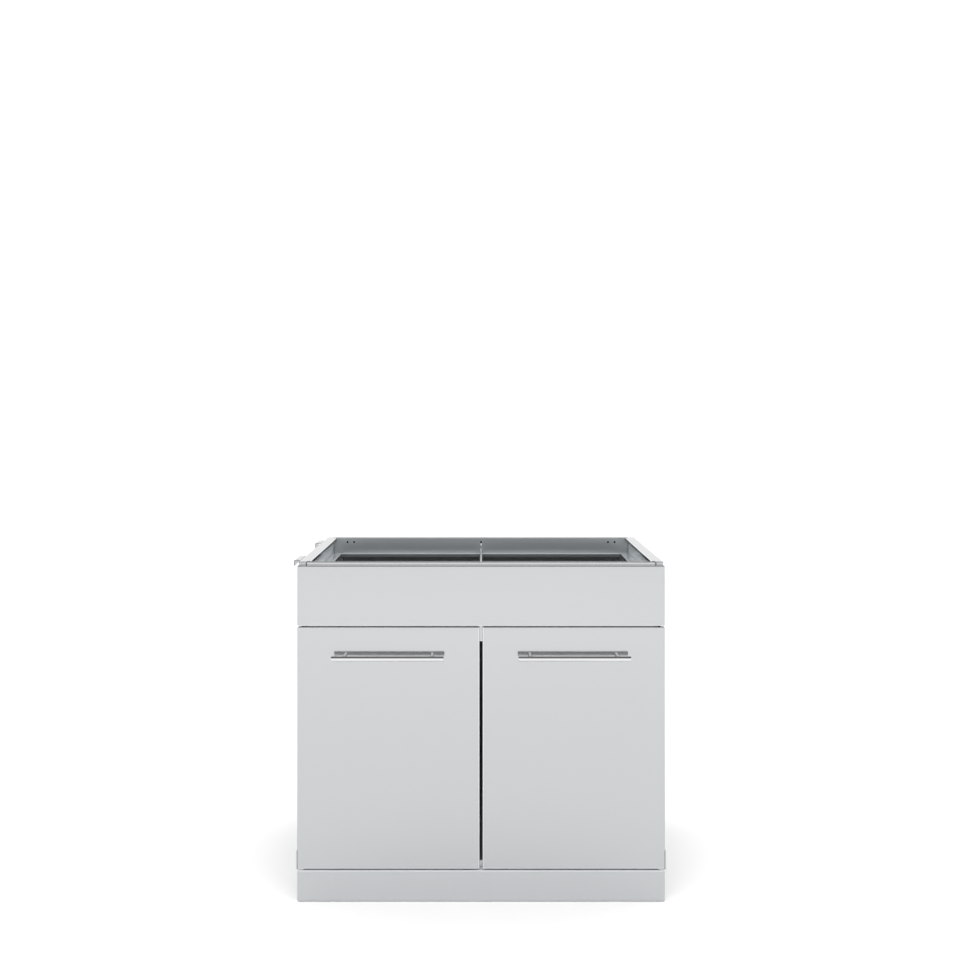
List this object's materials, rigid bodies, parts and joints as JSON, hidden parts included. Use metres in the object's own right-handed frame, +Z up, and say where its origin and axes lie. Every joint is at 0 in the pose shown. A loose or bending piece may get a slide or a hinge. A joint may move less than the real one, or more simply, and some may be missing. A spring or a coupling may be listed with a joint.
{
  "type": "outdoor kitchen cabinet",
  "caption": "Open-topped stainless outdoor kitchen base cabinet with a fixed front panel, hinged doors with bar handles, a plinth and levelling feet.",
  "frame": {"origin": "middle of the footprint of the whole cabinet, on the floor", "axes": "+Z up, the doors face -Y, +X to the right of someone facing the doors"},
  "size_m": [0.9332, 0.649, 0.8425],
  "materials": {
    "brushed_front": "fine satin stainless",
    "brushed_carcass": "bright stainless sheet",
    "satin_hardware": "satin bar",
    "zinc_plate": "bright zinc",
    "black_plastic": "moulded nylon",
    "white_plastic": "acetal"
  },
  "bodies": {
    "carcass": {"back_panel": "brushed_carcass", "catch_left": "white_plastic", "catch_right": "white_plastic", "door_head_rail": "brushed_carcass", "false_front": "brushed_front", "false_front_stiffener": "zinc_plate", "floor_pan": "brushed_carcass", "ledge_back": "brushed_carcass", "ledge_front": "brushed_carcass", "ledge_left": "brushed_carcass", "ledge_right": "brushed_carcass", "leg_socket_back_left": "black_plastic", "leg_socket_back_right": "black_plastic", "leg_socket_front_left": "black_plastic", "leg_socket_front_right": "black_plastic", "lower_hinge_bush_left": "white_plastic", "lower_hinge_bush_right": "white_plastic", "lower_hinge_plate_left": "zinc_plate", "lower_hinge_plate_right": "zinc_plate", "plinth": "brushed_front", "plinth_rail": "zinc_plate", "side_hook_front": "brushed_carcass", "side_hook_rear": "brushed_carcass", "side_liner_left": "brushed_carcass", "side_liner_right": "brushed_carcass", "side_skin_left": "brushed_carcass", "side_skin_right": "brushed_carcass", "support_bar": "brushed_carcass", "top_front_rail": "brushed_carcass", "upper_hinge_pin_left": "satin_hardware", "upper_hinge_pin_right": "satin_hardware", "upper_hinge_plate_left": "zinc_plate", "upper_hinge_plate_right": "zinc_plate"},
    "door_left": {"door_skin_left": "brushed_front", "door_liner_left": "brushed_carcass", "handle_bar_left": "satin_hardware", "handle_post_left_west": "satin_hardware", "handle_post_left_east": "satin_hardware", "handle_screw_left_west": "zinc_plate", "handle_screw_left_east": "zinc_plate", "corner_bracket_left": "satin_hardware", "lower_hinge_pin_left": "satin_hardware", "upper_hinge_bush_left": "white_plastic", "strike_plate_left": "zinc_plate"},
    "door_right": {"door_skin_right": "brushed_front", "door_liner_right": "brushed_carcass", "handle_bar_right": "satin_hardware", "handle_post_right_west": "satin_hardware", "handle_post_right_east": "satin_hardware", "handle_screw_right_west": "zinc_plate", "handle_screw_right_east": "zinc_plate", "corner_bracket_right": "satin_hardware", "lower_hinge_pin_right": "satin_hardware", "upper_hinge_bush_right": "white_plastic", "strike_plate_right": "zinc_plate"},
    "foot_front_left": {"foot_front_left": "black_plastic"},
    "foot_front_right": {"foot_front_right": "black_plastic"},
    "foot_back_left": {"foot_back_left": "black_plastic"},
    "foot_back_right": {"foot_back_right": "black_plastic"}
  },
  "joints": [
    {"name": "door_left_hinge", "type": "hinge", "parent": "carcass", "child": "door_left", "pos_m": [-0.4436, -0.2775, 0.0817], "axis": [0, 0, -1], "range_deg": [0, 110]},
    {"name": "door_right_hinge", "type": "hinge", "parent": "carcass", "child": "door_right", "pos_m": [0.4568, -0.2775, 0.0817], "axis": [0, 0, 1], "range_deg": [0, 110]},
    {"name": "foot_front_left_thread", "type": "slide", "parent": "carcass", "child": "foot_front_left", "axis": [0, 0, -1], "range_m": [0, 0.025]},
    {"name": "foot_front_right_thread", "type": "slide", "parent": "carcass", "child": "foot_front_right", "axis": [0, 0, -1], "range_m": [0, 0.025]},
    {"name": "foot_back_left_thread", "type": "slide", "parent": "carcass", "child": "foot_back_left", "axis": [0, 0, -1], "range_m": [0, 0.025]},
    {"name": "foot_back_right_thread", "type": "slide", "parent": "carcass", "child": "foot_back_right", "axis": [0, 0, -1], "range_m": [0, 0.025]}
  ]
}
